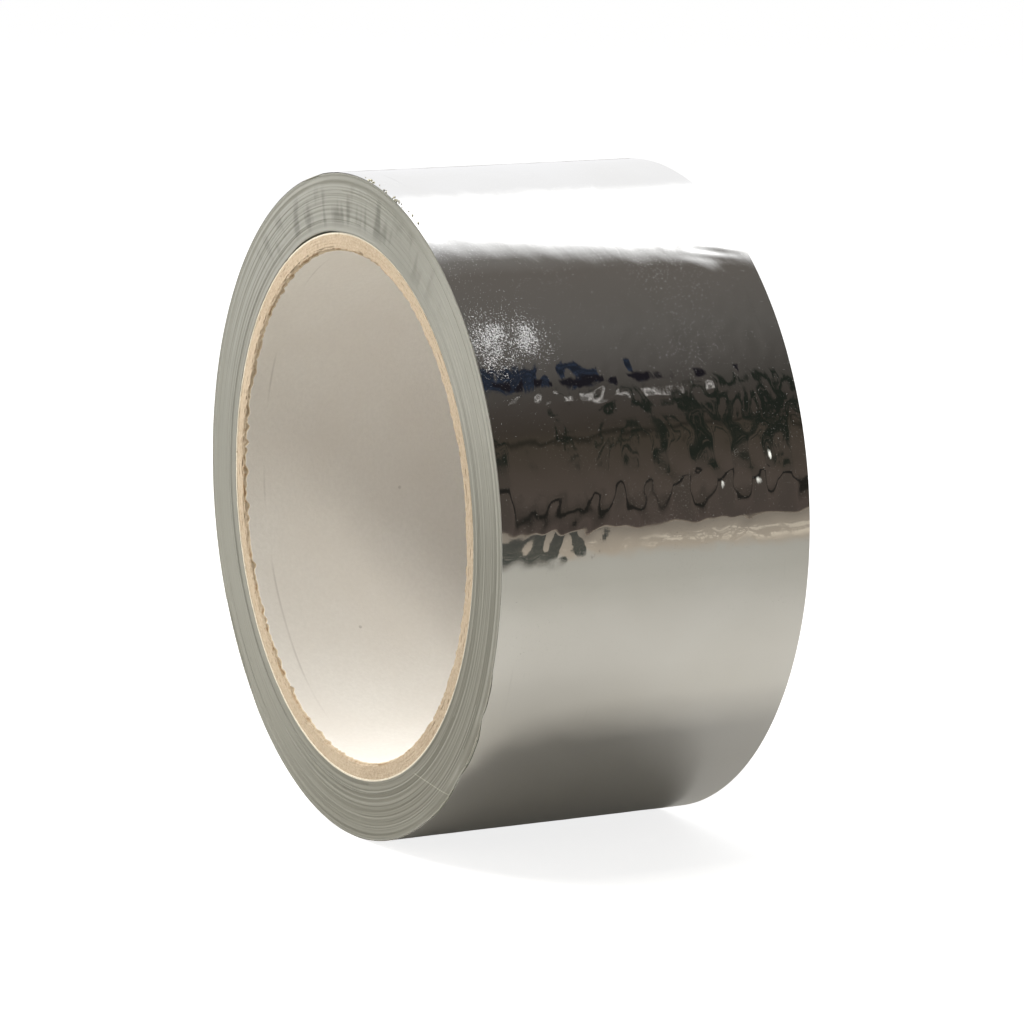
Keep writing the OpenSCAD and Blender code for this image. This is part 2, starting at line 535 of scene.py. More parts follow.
# Wrinkled spots: angle in degrees, place across, reach along and across, and how much rougher they are
WRINKLED = [
    (19, 17 * MM, 6 * MM, 9 * MM, 1.0),
    (2, -18 * MM, 3 * MM, 7 * MM, 2.5),
    (29, -9 * MM, 2.5 * MM, 8 * MM, 0.8),
    (9, -8 * MM, 2 * MM, 12 * MM, 1.2),
    (12, 10 * MM, 4 * MM, 12 * MM, 1.3),
    (-100, 8 * MM, 6 * MM, 10 * MM, 1.5),
    (125, 5 * MM, 5 * MM, 14 * MM, 2.0),
]

# A smoother stretch of foil, given in the same way
CALM = (55, -4 * MM, 7 * MM, 30 * MM)
CALM_SHARE = 0.7

# Soft slanted buckles: angle in degrees, place across, reach along and across, pitch, height and lean
BUCKLES = [
    (-44, -14 * MM, 7 * MM, 9 * MM, 9.0 * MM, 0.050 * MM, 1.1),
    (-52, -20 * MM, 4 * MM, 6 * MM, 5.0 * MM, 0.020 * MM, 1.3),
    (51.5, 20 * MM, 1.5 * MM, 5 * MM, 8.0 * MM, 0.010 * MM, 4.0),
    (150, -6 * MM, 8 * MM, 12 * MM, 8.0 * MM, 0.030 * MM, 0.5),
]

# The row of folds that runs across the strip at one angle of the rim. It lies FOLD_DEPTH under the strip,
# and the foil leans to and fro along it: place across in millimetres, and lean, at each turn.
FOLD_ANGLE = 11.5
FOLD_REACH = 2.8 * MM
FOLD_DEPTH = 0.075 * MM
FOLD_GAIN = 1.2
FOLD_TURNS = [
    (-30, 0), (-16, 0.004), (-14, -0.006), (-11.5, 0.012), (-9.5, -0.012), (-7, 0.014),
    (-5, -0.018), (-2, 0.014), (0, -0.020), (2.6, 0.045), (5.6, -0.034), (10.2, 0.042),
    (12.6, -0.036), (15.6, 0.050), (18, -0.020), (19.6, 0.040), (22, 0.030), (25, 0.034),
]

RELIEF_DEPTH = 0.045 * MM
DENT_DEPTH = 0.22 * MM
EDGE_FADE = 2 * MM


def patch(s, y, angle, middle, reach_s, reach_y):
    """A soft spot: one at its middle, and nought well outside its reach."""
    return np.exp(-((s - arc_place(angle)) / reach_s) ** 2 - ((y - middle) / reach_y) ** 2)


def roughness_of(s, y):
    """How much rougher than usual the foil is, from its wrinkled spots."""
    return sum(gain * patch(s, y, angle, middle, reach_s, reach_y)
               for angle, middle, reach_s, reach_y, gain in WRINKLED)


def crease_relief(s, y):
    """Buckles and folds, as a depth under the strip's smooth surface."""
    total = 0.0
    for angle, middle, reach_s, reach_y, pitch, height, lean in BUCKLES:
        run = (y - middle + lean * (s - arc_place(angle))) / pitch
        wave = 1 + np.cos(2 * math.pi * run)
        total = total + height * wave * patch(s, y, angle, middle, reach_s, reach_y)
    place, lean = np.array(FOLD_TURNS).T
    ds = s - arc_place(FOLD_ANGLE)
    fold = FOLD_GAIN * np.interp(y, place * MM, lean) * ds * np.exp(-(ds / FOLD_REACH) ** 2)
    return total + fold + FOLD_DEPTH * np.exp(-(ds / (2.5 * FOLD_REACH)) ** 4)


def foil_relief(s, y):
    """How far the foil lies under its full radius: between 0 and -RELIEF_DEPTH. Wave heights are in mm."""
    fine_share = 0.6 + 0.5 * np.clip(patch_waves(s, y), -1, 1.5)
    rougher = roughness_of(s, y)
    height = (
        0.009 * broad_waves(s, y)
        + (0.0055 + 0.002 * rougher) * middle_waves(s, y)
        + (0.0024 * fine_share + 0.003 * rougher) * fine_waves(s, y)
        + 0.0009 * (1.2 - fine_share) * slanted_waves(s, y)
    ) * MM * (1 - CALM_SHARE * patch(s, y, *CALM))
    middle = RELIEF_DEPTH / 2
    return np.clip(height, -middle, middle) - middle


def dent_relief(s, y):
    """Deeper creases, which fade out towards the strip's two edges."""
    fade = np.clip((TAPE_HALF - np.abs(y)) / EDGE_FADE, 0, 1)
    return -np.clip(crease_relief(s, y), 0, DENT_DEPTH - RELIEF_DEPTH) * fade


# -------------------- mesh helpers

def polar_points(angle, radius, y):
    """Points round the bore's axis, from their angle, radius and place along it."""
    angle, radius, y = np.broadcast_arrays(angle, radius, y)
    return np.stack([radius * np.cos(angle), y, radius * np.sin(angle)], axis=-1)


def make_mesh(name, points, faces, material, uv=None, sharp=35):
    mesh = bpy.data.meshes.new(name)
    mesh.from_pydata(points, [], faces)
    mesh.validate()
    mesh.polygons.foreach_set("use_smooth", np.ones(len(mesh.polygons), bool))
    mesh.set_sharp_from_angle(angle=math.radians(sharp))
    if uv is not None:
        layer = mesh.uv_layers.new(name=STRIP_UV)
        corner = np.empty(len(mesh.loops), int)
        mesh.loops.foreach_get("vertex_index", corner)
        layer.data.foreach_set("uv", uv[corner].ravel())
    mesh.materials.append(material)
    mesh.update()
    piece = bpy.data.objects.new(name, mesh)
    bpy.context.scene.collection.objects.link(piece)
    return piece


def grid_faces(rows, columns, start=0, flip=False):
    """Quads of a grid of points whose rows follow each other, from the point numbered start."""
    i = np.arange(rows - 1)[:, None]
    j = np.arange(columns - 1)[None, :]
    a = start + i * columns + j
    b = a + columns
    quads = np.stack([a, b, b + 1, a + 1], axis=-1).reshape(-1, 4)
    return (quads[:, ::-1] if flip else quads).tolist()


# How many columns in from a strip's edge its deep inner side has gone down under the dents
DEEP_COLUMN = 6
# How far in from the edge a trim is felt
TRIM_REACH = 1 * MM


def strip_solid(name, s_values, y_values, top, thickness, material, trim=None, deep=False):
    """A closed piece of strip that lies round the roll.

    top(s, y) is the radius of its outer side, and trim(s) is how far its near edge is cut back. The inner
    side of a wide strip has only a few columns. A deep one lies under all the dents between the two edges.
    """
    s = np.asarray(s_values)[:, None]
    y = np.asarray(y_values)[None, :]
    if trim is not None:
        y = y + trim(s) * np.exp((y_values[0] - y) / TRIM_REACH)
    rows, columns = s.size, len(y_values)
    radius = top(s, y)
    angle = PEEL + s / ROLL_R
    outside = polar_points(angle, radius, y).reshape(-1, 3)
    kept = [0, DEEP_COLUMN, -1 - DEEP_COLUMN, -1] if deep else [0, -1]
    if columns <= len(kept) + 2:
        kept = list(range(columns))
    inner_y = np.broadcast_to(y, radius.shape)[:, kept]
    inner_radius = radius[:, kept] - thickness
    if deep:
        inner_radius[:, 1:3] = radius.min(axis=1, keepdims=True) - thickness
    width = len(kept)
    inside = polar_points(angle, inner_radius, inner_y).reshape(-1, 3)
    points = np.concatenate([outside, inside])
    first_inside = rows * columns
    faces = grid_faces(rows, columns, flip=True)
    faces += grid_faces(rows, width, first_inside)
    for i in range(rows - 1):
        a, b = i * columns, (i + 1) * columns
        c, d = first_inside + width * i, first_inside + width * (i + 1)
        faces.append([a, b, d, c])
        faces.append([a + columns - 1, c + width - 1, d + width - 1, b + columns - 1])
    first_row = list(range(columns))
    first_row_inside = [first_inside + j for j in range(width)]
    faces.append(first_row + first_row_inside[::-1])
    last_row = [(rows - 1) * columns + j for j in range(columns)]
    last_row_inside = [first_inside + (rows - 1) * width + j for j in range(width)]
    faces.append(last_row[::-1] + last_row_inside)
    uv_top = np.stack(np.broadcast_arrays(s, y), axis=-1).reshape(-1, 2)
    uv_inside = np.stack(np.broadcast_arrays(s, inner_y), axis=-1).reshape(-1, 2)
    return make_mesh(name, points, faces, material, np.concatenate([uv_top, uv_inside]))


def revolved_solid(name, profile, angles, material, sharp=35):
    """A closed ring. profile(angles) gives (radius, y) round its section, as an array [angle, point, 2]."""
    section = profile(angles)
    rows, columns = section.shape[:2]
    points = polar_points(angles[:, None], section[..., 0], section[..., 1]).reshape(-1, 3)
    i = np.arange(rows)[:, None]
    j = np.arange(columns)[None, :]
    a = i * columns + j
    b = ((i + 1) % rows) * columns + j
    c = ((i + 1) % rows) * columns + (j + 1) % columns
    d = i * columns + (j + 1) % columns
    quads = np.stack([a, d, c, b], axis=-1).reshape(-1, 4).tolist()
    return make_mesh(name, points, quads, material, sharp=sharp)


def turn_angles(count):
    return np.arange(count) / count * 2 * math.pi


# -------------------- the foil and its adhesive

# Grid of the strip's points
WRAP_ROWS = 800
SEGMENT_ROWS = 22
FOIL_COLUMNS = 120
FILM_ROWS = 360


def wrap_radius(s):
    """Radius of the winding's outer side. It grows by the tape's thickness each turn."""
    return ROLL_R + TAPE_T * np.minimum(s, 0) / WRAP_LENGTH


def outer_wrap_top(s, y):
    """Radius of the outer wrap's outer side, a little lower where the free end covers it."""
    hidden = np.clip((-WRAP_LENGTH + FREE_LENGTH - s) / (3 * MM), 0, 1)
    return wrap_radius(s) + foil_relief(s, y) + dent_relief(s, y) - hidden * RELIEF_DEPTH


# Where the slit edges are cut back near the outside: angle in degrees, reach and depth
NICKS = [
    (-24, 3.0 * MM, 0.22 * MM),
    (-36, 4.5 * MM, 0.50 * MM),
    (-52, 5.0 * MM, 0.30 * MM),
    (30, 9.0 * MM, 0.12 * MM),
    (104, 3.0 * MM, 0.25 * MM),
    (215, 8.0 * MM, 0.20 * MM),
]


def edge_nicks(s):
    """How far the strip's near edge is cut back."""
    total = 0.0
    for angle, reach, depth in NICKS:
        middle = (arc_place(angle) + WRAP_LENGTH) % WRAP_LENGTH
        from_middle = s - middle + WRAP_LENGTH
        total = total + depth * np.exp(-(from_middle / reach) ** 4)
    return total


def build_outer_wrap():
    s_values = np.linspace(-WRAP_LENGTH, 0, WRAP_ROWS)
    y_values = np.linspace(-TAPE_HALF, TAPE_HALF, FOIL_COLUMNS)
    foil = strip_solid(
        "outer_wrap", s_values, y_values, outer_wrap_top, FOIL_T, FOIL, edge_nicks, deep=True)
    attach(foil, "roll")
    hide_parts("outer_wrap_foil")

    def film_top(s, y):
        inside = np.clip((TAPE_HALF - np.abs(y)) / EDGE_FADE, 0, 1)
        return wrap_radius(s) - 2 * RELIEF_DEPTH - FOIL_T - DENT_DEPTH * inside

    film_y = np.array([-TAPE_HALF, EDGE_FADE - TAPE_HALF, TAPE_HALF - EDGE_FADE, TAPE_HALF])
    film_s = np.linspace(-WRAP_LENGTH, 0, FILM_ROWS)
    film = strip_solid("outer_wrap_film", film_s, film_y, film_top, GLUE_T, GLUE)
    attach(film, "roll")
    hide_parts("outer_wrap_adhesive")


def free_end_top(s, y):
    """Radius of the free end's outer side. Past the peel line it clears the wrap under it."""
    lift = PEEL_GAP * np.clip(s / (3 * MM), 0, 1)
    return ROLL_R + lift + foil_relief(s, y)


def free_film_top(s, y):
    return free_end_top(s, y) - FOIL_T


def build_free_end():
    """The free end: one strip, cut at its hinges.

    Each piece lies round the roll and clears the wrap under it, so that it never dips into the roll.
    """
    y_values = np.linspace(-TAPE_HALF, TAPE_HALF, FOIL_COLUMNS)
    for i in range(1, SEGMENTS + 1):
        hinge = (i - 1) * SEGMENT_LENGTH
        end = i * SEGMENT_LENGTH
        s_values = np.linspace(hinge, end, SEGMENT_ROWS)
        foil = strip_solid(f"free_end_{i}", s_values, y_values, free_end_top, FOIL_T, FOIL)
        film = strip_solid(
            f"free_end_film_{i}", s_values, y_values, free_film_top, FREE_FILM_T, GLUE)
        bend = {
            "start": tuple(polar_points(PEEL + hinge / ROLL_R, ROLL_R, 0.0)),
            "end": tuple(polar_points(PEEL + end / ROLL_R, ROLL_R, 0.0)),
        }
        for piece in (foil, film):
            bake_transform(piece)
        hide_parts(f"free_end_foil_{i}")
        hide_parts(f"free_end_adhesive_{i}")


# -------------------- the wound tape's end faces

# The end faces show RINGS rings, each set in or out by up to WANDER. Near the rim they are cut back with the
# foil's nicks over the last SHOULDER of their radius.
RINGS = 46
WANDER = 0.05 * MM
SHOULDER = 1.6 * MM
WOUND_STEPS = 480


def build_wound_tape():
    rng = np.random.default_rng(21)
    ring_edges = np.sort(rng.random(RINGS - 1))
    ring_edges = np.concatenate([[0], 0.35 * ring_edges + 0.65 * np.arange(1, RINGS) / RINGS, [1]])
    drift = 0.2 * np.sin(np.arange(RINGS) * 0.55)
    shift = np.clip(rng.normal(0, 0.3, RINGS) + drift, -1, 1) * WANDER
    ripple_phase = rng.random(RINGS) * 2 * math.pi
    loose_middle, loose_reach = math.radians(106), math.radians(11)

    def profile(angles):
        outer = ROLL_R - 3 * RELIEF_DEPTH
        from_loose = (angles - loose_middle) / loose_reach
        inner = CORE_R + 0.03 * MM + 0.28 * MM * np.exp(-from_loose ** 4)
        radii = inner[:, None] + (outer - inner[:, None]) * ring_edges[None, :]
        cut_back = edge_nicks((angles - PEEL) % (2 * math.pi) * ROLL_R - WRAP_LENGTH)
        near, far = [], []
        for k in range(RINGS):
            wave = 0.15 * WANDER * np.sin(3 * angles + ripple_phase[k])
            offset = np.clip(shift[k] + wave, -WANDER, WANDER)
            for r in (radii[:, k] + 0.01 * MM, radii[:, k + 1] - 0.01 * MM):
                shoulder = cut_back * np.clip((r - outer) / SHOULDER + 1, 0, 1)
                near.append(np.stack([r, -TAPE_HALF + offset + shoulder], axis=-1))
                far.append(np.stack([r, TAPE_HALF + offset], axis=-1))
        low_rim = np.full_like(angles, outer - DENT_DEPTH - TAPE_T)
        rim = [np.stack([low_rim, np.full_like(angles, side)], axis=-1)
               for side in (EDGE_FADE - TAPE_HALF, TAPE_HALF - EDGE_FADE)]
        return np.stack(near + rim + far[::-1], axis=1)

    pack = revolved_solid("wound_tape_pack", profile, turn_angles(WOUND_STEPS), EDGE, sharp=60)
    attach(pack, "roll")
    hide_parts("wound_tape")


# -------------------- the core

CORE_STEPS = 720


def jagged(seed, count=90, lowest=9, highest=160):
    """A rough closed line of unit height round the core, as a function of angle."""
    rng = np.random.default_rng(seed)
    turns = rng.integers(lowest, highest, count)
    phase = rng.random(count) * 2 * math.pi
    weight = 1 / np.sqrt(turns / lowest)
    weight /= np.sqrt(np.sum(weight ** 2) / 2)

    def height(angle):
        return sum(w * np.cos(t * angle + p) for t, p, w in zip(turns, phase, weight))

    return height


def tube_profile(inner, outer, near_trim, far_trim, corner):
    """A tube's section, as a function of angle.

    Its ends are trimmed back by near_trim and far_trim, and its inner corners are broken by corner. All three
    are functions of the angle.
    """
    def profile(angles):
        near = -CORE_HALF + near_trim(angles)
        far = CORE_HALF - far_trim(angles)
        broken = corner(angles)
        inside = inner * np.ones_like(angles)
        outside = outer * np.ones_like(angles)
        section = [
            (outside, near),
            (inner + broken, near),
            (inside, near + broken),
            (inside, near + 2 * MM),
            (inside, 0.5 * near),
            (inside, 0 * near),
            (inside, 0.5 * far),
            (inside, far - 2 * MM),
            (inside, far - broken),
            (inner + broken, far),
            (outside, far),
            (outside, 0 * near),
        ]
        return np.stack([np.stack([r, y], axis=-1) for r, y in section[::-1]], axis=1)
    return profile


def torn_trim(line, least, depth):
    """Trims an end back by at least this much, and by more where a rough line tears it. Both are in mm."""
    return lambda a: (least + depth * np.abs(line(a))) * MM


def slanted_trim(line, proudest, turn):
    """Trims an end that stands proudest at one angle in degrees. turn shifts its roughness, in radians."""
    middle = math.radians(proudest)
    return lambda a: (0.10 - 0.07 * np.cos(a - middle) + 0.02 * np.abs(line(a + turn))) * MM


def even_corner(size):
    return lambda a: size * np.ones_like(a)


def rough_corner(line, size, depth):
    """Breaks a corner by about this size, and by more or less along a rough line. Both are in mm."""
    return lambda a: np.clip(size + depth * line(a), 0.01, 0.38) * MM


def build_core():
    """The lining, the board plies and the pale outer ply, from the inside outwards."""
    angles = turn_angles(CORE_STEPS)
    profile = tube_profile(
        BORE_R, LINER_R, torn_trim(jagged(31), 0.34, 0.22), torn_trim(jagged(32), 0.34, 0.22),
        even_corner(0.16 * MM))
    liner = revolved_solid("liner", profile, angles, PAPER)
    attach(liner, "roll")
    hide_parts("core_liner")

    inner = LINER_R
    for i, node in enumerate(PLY_NODES):
        outer = outer_radius(node)
        tear = 0.03 if i else 0.12
        corner_size, corner_depth = (0.02, 0.02) if i else (0.16, 0.10)
        profile = tube_profile(
            inner, outer - 0.01 * MM, torn_trim(jagged(40 + i), 0.12, tear),
            torn_trim(jagged(60 + i), 0.12, tear), rough_corner(jagged(80 + i), corner_size, corner_depth))
        ply = revolved_solid(f"board_ply_{i + 1}", profile, angles, BOARD)
        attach(ply, "roll")
        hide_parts(node)
        inner = outer

    smooth = jagged(99)
    profile = tube_profile(
        OUTER_PLY_R, CORE_R, slanted_trim(smooth, 230, 0), slanted_trim(smooth, 80, 1),
        even_corner(0.03 * MM))
    outer_ply = revolved_solid("outer_ply", profile, angles, PALE_BOARD)
    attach(outer_ply, "roll")
    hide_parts("core_outer_ply")


# -------------------- what is caught on the edges

# Beads of torn board on the core's near end: angle in degrees, radius and size in millimetres
BEADS = [
    (174, 41.1, 0.42),
    (177.5, 41.2, 0.36),
    (176, 40.6, 0.22),
    (168, 39.2, 0.2),
]

CRUMB_COUNT = 30


def lump(centre, size, rng, points, faces):
    """Adds one irregular crumb, an uneven icosahedron, to lists of points and faces."""
    golden = (1 + math.sqrt(5)) / 2
    corners = np.array([
        (-1, golden, 0), (1, golden, 0), (-1, -golden, 0), (1, -golden, 0),
        (0, -1, golden), (0, 1, golden), (0, -1, -golden), (0, 1, -golden),
        (golden, 0, -1), (golden, 0, 1), (-golden, 0, -1), (-golden, 0, 1),
    ]) / math.sqrt(1 + golden * golden)
    sides = [
        (0, 11, 5), (0, 5, 1), (0, 1, 7), (0, 7, 10), (0, 10, 11),
        (1, 5, 9), (5, 11, 4), (11, 10, 2), (10, 7, 6), (7, 1, 8),
        (3, 9, 4), (3, 4, 2), (3, 2, 6), (3, 6, 8), (3, 8, 9),
        (4, 9, 5), (2, 4, 11), (6, 2, 10), (8, 6, 7), (9, 8, 1),
    ]
    first = len(points)
    stretch = np.array(size) * rng.uniform(0.7, 1.1, 3)
    for corner in corners:
        point = np.array(centre) + corner * stretch * rng.uniform(0.6, 1.15)
        point[1] = max(point[1], -CORE_HALF)
        points.append(tuple(point))
    faces += [tuple(first + k for k in side) for side in sides]


def build_crumbs():
    """Dried adhesive along the top of the near edge, and beads of torn board on the core's end."""
    rng = np.random.default_rng(77)
    points, faces = [], []
    for _ in range(CRUMB_COUNT):
        places = [rng.normal(82, 2), rng.normal(73, 2.5), rng.uniform(58, 86)]
        angle = math.radians(rng.choice(places))
        size = rng.uniform(0.06, 0.24) * MM
        centre = polar_points(angle, ROLL_R + 0.02 * MM, -TAPE_HALF + rng.uniform(0.15, 0.75) * MM)
        lump(centre, (1.5 * size, 0.9 * size, 0.8 * size), rng, points, faces)
    crumbs = make_mesh("edge_crumbs", points, faces, CRUMBS, sharp=25)
    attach(crumbs, "roll")

    points, faces = [], []
    for degrees, radius, size in BEADS:
        centre = polar_points(math.radians(degrees), radius * MM, -CORE_HALF + 0.14 * MM)
        lump(centre, (size * MM, 0.11 * MM, 1.2 * size * MM), rng, points, faces)
    beads = make_mesh("torn_beads", points, faces, BOARD, sharp=25)
    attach(beads, "roll")


build_outer_wrap()
build_free_end()
build_wound_tape()
build_core()
build_crumbs()


# -------------------- studio

# The table top reaches from FLOOR_BACK to FLOOR_FRONT along X, and FLOOR_SIDE to each side
FLOOR_BACK = -4.0
FLOOR_FRONT = 1.3
FLOOR_SIDE = 4.0

# A direction is named by the place on the rim that mirrors it to the camera. Its level is that place's angle
# from +X towards +Z in degrees, and its across runs from 0 at the rim's near edge to 1 at the far edge.
LEVEL_START = 11.26
LEVEL_STEP = 2.0835
ACROSS_START = 0.4527
ACROSS_STEP = 0.058

# Colours of the studio's dark side at each level
ROOM_LOW = -30
ROOM_HIGH = 100
ROOM_STOPS = [
    (-30, (0.40, 0.36, 0.30)),
    (4.2, (0.46, 0.39, 0.30)),
    (4.5, (0.074, 0.058, 0.050)),
    (9, (0.076, 0.061, 0.051)),
    (12, (0.070, 0.056, 0.046)),
    (17.5, (0.050, 0.041, 0.031)),
    (19.5, (0.045, 0.037, 0.030)),
    (24, (0.054, 0.046, 0.040)),
    (27, (0.064, 0.058, 0.052)),
    (31, (0.088, 0.081, 0.074)),
    (37, (0.112, 0.105, 0.096)),
    (49, (0.126, 0.114, 0.102)),
    (52, (0.17, 0.16, 0.148)),
]


def table_shader(nodes, shader):
    """The table top that the foil mirrors: painted paler near the roll, with a painted glow of light just in front
    of it, and browner and cluttered towards its front.
    """
    x, y, _ = nodes.object_xyz()
    offset = nodes.plus(nodes.minus(y, nodes.times(x, 0.51)), 0.0507)
    across = nodes.math("DIVIDE", offset, nodes.plus(0.047, nodes.times(x, 0.0657)))
    clutter_place = nodes.combine(nodes.times(across, 9), nodes.times(x, 12), 0.0)
    clutter = nodes.noise(clutter_place, 1.0, 3, 0.6)
    # Painted light: the table is paler close in front of the roll.
    colour = nodes.mix(nodes.remap(x, 0.07, 0.16), (0.52, 0.505, 0.465), (0.41, 0.40, 0.36))
    front = nodes.remap(nodes.shifted(x, clutter, 0.06), 0.23, 0.30)
    colour = nodes.mix(front, colour, (0.42, 0.365, 0.295))

    pale_band = nodes.band(x, 0.3, 0.55, 0.03)
    pale = nodes.times(nodes.remap(clutter, 0.5, 0.57), pale_band, nodes.remap(across, 0.4, 0.6))
    colour = nodes.mix(pale, colour, (0.66, 0.59, 0.48))
    near_side = nodes.remap(nodes.shifted(across, clutter, 0.35), 0.27, 0.23)
    scraps = nodes.remap(nodes.noise(clutter_place, 7.0, 2, 0.6), 0.36, 0.46, 0.3, 1.0)
    litter = nodes.times(near_side, nodes.band(x, 0.24, 1.1, 0.03), scraps)
    nodes.put(shader, "Base Color", nodes.mix(litter, colour, (0.03, 0.036, 0.03)))
    shader.inputs["Roughness"].default_value = 0.8

    # Painted pool of light: a faint glow on the table just in front of the roll.
    painted_light_pool = nodes.times(nodes.remap(x, 0.02, 0.06, 0.5, 1.0), nodes.remap(x, 0.13, 0.07))
    nodes.put(shader, "Emission Color", nodes.mix(painted_light_pool, (0.0, 0.0, 0.0), (0.075, 0.073, 0.067)))
    shader.inputs["Emission Strength"].default_value = 1.0


def floor_material():
    """The camera sees glowing white paper with a soft shadow. The foil mirrors the table top instead."""
    material, nodes, shader = new_material("floor")
    table_shader(nodes, shader)
    paper = nodes.add("BsdfDiffuse")
    paper.inputs["Color"].default_value = (0.45, 0.45, 0.445, 1)
    glow = nodes.add("Emission")
    glow.inputs["Color"].default_value = (1, 1, 1, 1)
    glow.inputs["Strength"].default_value = 0.82
    bright = nodes.add("AddShader")
    nodes.put(bright, 0, paper.outputs[0])
    nodes.put(bright, 1, glow.outputs[0])
    seen = nodes.add("MixShader")
    nodes.put(seen, 0, nodes.add("LightPath").outputs["Is Camera Ray"])
    nodes.put(seen, 1, shader.outputs[0])
    nodes.put(seen, 2, bright.outputs[0])
    nodes.put(material.node_tree.nodes["Material Output"], 0, seen.outputs[0])
    return material


def add_floor():
    """A table top under the roll, cut off at its front edge."""
    corners = [
        (FLOOR_BACK, -FLOOR_SIDE, -ROLL_R),
        (FLOOR_FRONT, -FLOOR_SIDE, -ROLL_R),
        (FLOOR_FRONT, FLOOR_SIDE, -ROLL_R),
        (FLOOR_BACK, FLOOR_SIDE, -ROLL_R),
    ]
    mesh = bpy.data.meshes.new("floor")
    mesh.from_pydata(corners, [], [[0, 1, 2, 3]])
    mesh.materials.append(floor_material())
    floor = bpy.data.objects.new("floor", mesh)
    bpy.context.scene.collection.objects.link(floor)


def add_light(name, direction, distance, size, size_y, radiance, colour, long_side):
    """A soft light that faces the roll and doesn't show in the foil. Its size_y runs along long_side."""
    towards = mathutils.Vector(direction).normalized()
    x_axis = mathutils.Vector(long_side).cross(towards).normalized()
    y_axis = towards.cross(x_axis)
    data = bpy.data.lights.new(name, "AREA")
    data.shape = "RECTANGLE"
    data.size = size
    data.size_y = size_y
    data.color = colour
    data.energy = radiance * math.pi * size * size_y
    light = bpy.data.objects.new(name, data)
    bpy.context.scene.collection.objects.link(light)
    rotation = mathutils.Matrix((x_axis, y_axis, towards)).transposed().to_4x4()
    light.matrix_world = mathutils.Matrix.Translation(towards * distance) @ rotation
    light.visible_glossy = False


def add_lights():
    """A large softbox over the roll, a fill that lights the bore, and a warm lamp above the near side."""
    add_light("softbox", (-0.393, 0.455, 0.799), 1.0, 0.566, 1.2, 2.2, (1, 1, 1), (0, 1, 0))
    add_light("fill", (-0.33, -0.28, 0.24), 0.33, 0.2, 0.2, 7.8, (1, 0.985, 0.965), (1, 0, 0))
    add_light("lamp", (0.09, -0.36, 0.6), 0.6, 0.16, 0.16, 24.0, (1, 0.97, 0.90), (1, 0, 0))


def add_dark_lines(nodes, room, level, across, clutter, specks):
    """A wavy line, a line low down that the folds break up, and dark fuzz round that one."""
    lean = nodes.remap(across, 0, 0.7, 0.0, 1.8)
    wavy_level = nodes.minus(nodes.shifted(level, clutter, 2.0), lean)
    wavy_band = nodes.band(wavy_level, 16.6, 17.4, 0.5)
    wavy_line = nodes.times(wavy_band, nodes.remap(across, 0.85, 0.55), 0.75)
    room = nodes.mix(wavy_line, room, (0.014, 0.014, 0.011))

    fold_level = nodes.minus(nodes.shifted(level, specks, 1.2), nodes.remap(across, 0, 1, 0.0, 4.6))
    fold_line = nodes.band(fold_level, 5.7, 6.6, 0.25)
    room = nodes.mix(nodes.times(fold_line, 0.9), room, (0.010, 0.010, 0.009))
    fuzz_band = nodes.band(nodes.shifted(fold_level, specks, 4.0), 4.5, 8, 1.2)
    fuzz = nodes.times(fuzz_band, nodes.remap(across, 0.5, 0.3), 0.4)
    return nodes.mix(fuzz, room, (0.014, 0.014, 0.011))


def add_dark_shapes(nodes, room, level, across, clutter, shapes, specks):
    """Ragged dark blots, and a navy rag and a black rail towards the rim's near edge."""
    threshold = nodes.remap(across, 0.25, 0.9, 0.62, 0.44)
    blot = nodes.remap(nodes.minus(shapes, threshold), -0.02, 0.03)
    blot_band = nodes.band(nodes.shifted(level, clutter, 8.0), 14, 27.5, 0.6)
    blots = nodes.times(blot, blot_band, nodes.remap(across, 0.2, 0.3))
    room = nodes.mix(nodes.times(blots, 0.9), room, (0.011, 0.015, 0.0115))

    rag_band = nodes.band(nodes.shifted(level, shapes, 4.0), 27.0, 31.0, 0.3)
    rag = nodes.times(rag_band, nodes.remap(nodes.shifted(across, clutter, 0.2), 0.31, 0.27))
    blue = nodes.remap(specks, 0.5, 0.68)
    room = nodes.mix(rag, room, nodes.mix(blue, (0.014, 0.017, 0.024), (0.035, 0.050, 0.085)))
    rail_band = nodes.band(nodes.shifted(level, clutter, 2.0), 27.2, 28.6, 0.3)
    rail = nodes.times(rail_band, nodes.band(across, 0.1, 0.5, 0.02))
    return nodes.mix(rail, room, (0.012, 0.011, 0.014))


def add_bright_things(nodes, room, level, across, shapes, specks):
    """Broken glints of chrome, and a small soft window off to the far side."""
    chrome_band = nodes.band(nodes.shifted(level, shapes, 1.5), 24.8, 26.0, 0.2)
    glints = nodes.remap(specks, 0.48, 0.60)
    chrome = nodes.times(chrome_band, nodes.band(across, 0.32, 0.5, 0.02), glints)
    room = nodes.mix(chrome, room, (0.72, 0.69, 0.66))
    window = nodes.times(nodes.band(across, 2.2, 2.4, 0.1), nodes.band(level, 9, 17, 2))
    return nodes.mix(window, room, (1.3, 1.3, 1.2))


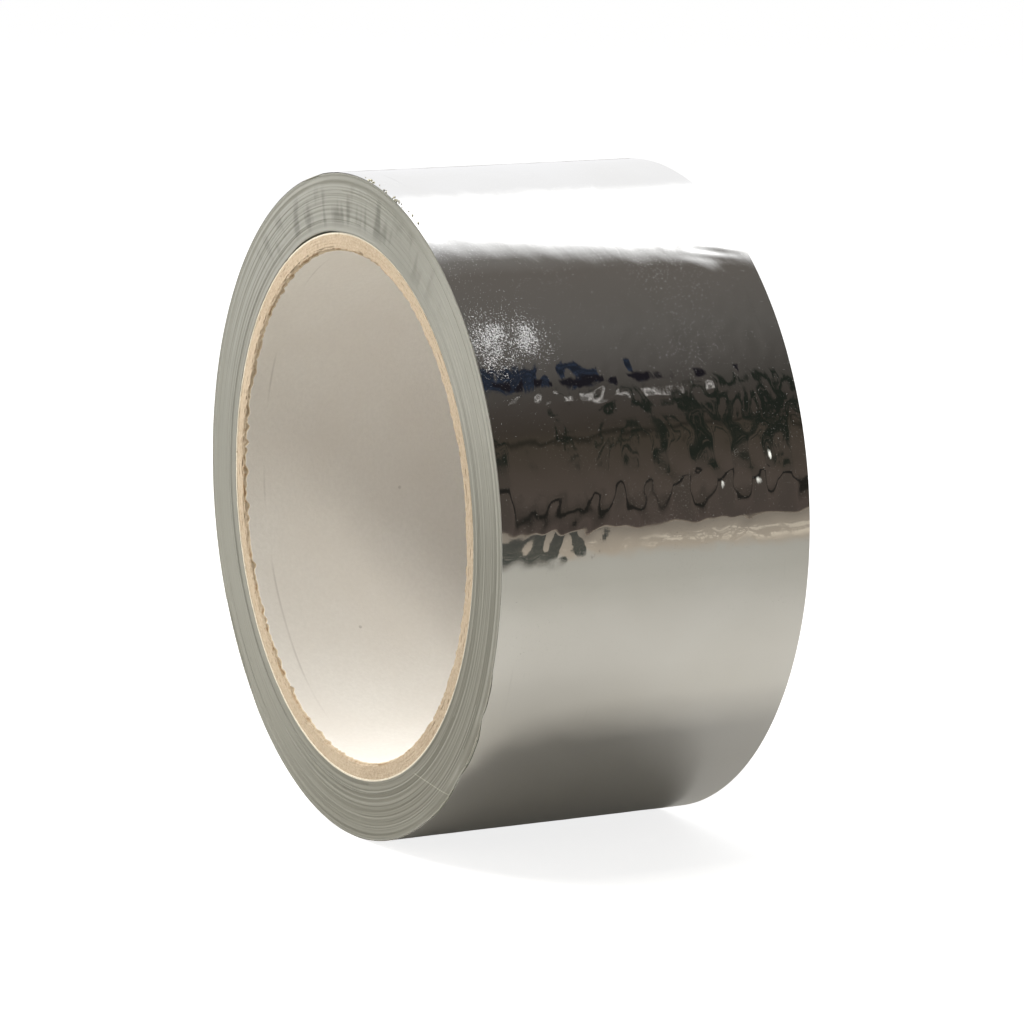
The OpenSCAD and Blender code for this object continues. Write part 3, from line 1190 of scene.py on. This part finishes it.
def add_world():
    """A bright studio with a dark side, and above that a soft box that shows only in mirrors."""
    world = bpy.data.worlds.new("world")
    bpy.context.scene.world = world
    world.use_nodes = True
    tree = world.node_tree
    nodes = Nodes(tree)
    direction = nodes.add("TexCoord").outputs["Generated"]
    split = nodes.add("SeparateXYZ")
    nodes.put(split, 0, direction)
    x, y, z = split.outputs
    over = nodes.times(nodes.math("ARCTAN2", z, x), 180 / math.pi)
    level = nodes.math("DIVIDE", nodes.plus(over, LEVEL_START), LEVEL_STEP)
    across = nodes.math("DIVIDE", nodes.minus(y, ACROSS_START), ACROSS_STEP)
    place = nodes.combine(nodes.times(across, 5), nodes.times(level, 0.14), 0.0)
    clutter = nodes.noise(place, 1.0, 3, 0.6)
    shapes = nodes.noise(place, 1.7, 4, 0.6, 0.4)
    specks = nodes.noise(place, 9.0, 2, 0.6)

    span = ROOM_HIGH - ROOM_LOW
    stops = [((stop - ROOM_LOW) / span, colour) for stop, colour in ROOM_STOPS]
    room = nodes.ramp(nodes.remap(level, ROOM_LOW, ROOM_HIGH), stops)
    dim = nodes.times(nodes.remap(across, 0.4, 1.1), nodes.remap(level, 50, 30), 0.3)
    room = nodes.mix(dim, room, (0.035, 0.033, 0.028))
    room = add_dark_lines(nodes, room, level, across, clutter, specks)
    room = add_dark_shapes(nodes, room, level, across, clutter, shapes, specks)
    room = add_bright_things(nodes, room, level, across, shapes, specks)

    facing = nodes.add("VectorMath", operation="DOT_PRODUCT")
    nodes.put(facing, 0, direction)
    nodes.put(facing, 1, (0.89, 0.455, 0.0))
    dark_side = nodes.remap(facing.outputs["Value"], -0.22, 0.1)
    seen = nodes.mix(dark_side, (0.95, 0.95, 0.96), room)

    path = nodes.add("LightPath")
    slope = nodes.remap(across, -0.2, 1.2, -1.2, 7.4)
    box_level = nodes.plus(nodes.shifted(level, specks, 1.0), slope)
    box_side = nodes.remap(y, -0.3, -0.1)
    box_top = nodes.remap(nodes.shifted(level, clutter, 5.0), 74, 62, smooth=True)
    box_seen = nodes.times(box_side, path.outputs["Is Glossy Ray"], box_top)
    glow = nodes.times(nodes.remap(box_level, 52.5, 57.5, smooth=True), box_seen)
    seen = nodes.mix(glow, seen, (0.95, 0.95, 0.95))
    core = nodes.times(nodes.remap(box_level, 55.5, 60.0, smooth=True), box_seen)
    seen = nodes.mix(core, seen, (2.2, 2.2, 2.2))

    # The walls light the roll a little less than they show in it, and the camera sees plain white
    dimmed = nodes.mix(0.2, seen, (0.0, 0.0, 0.0))
    seen = nodes.mix(path.outputs["Is Diffuse Ray"], seen, dimmed)
    seen = nodes.mix(path.outputs["Is Camera Ray"], seen, (1.0, 1.0, 1.0))
    nodes.put(tree.nodes["Background"], "Color", seen)


add_floor()
add_lights()
add_world()
bpy.context.scene.view_settings.view_transform = "Standard"
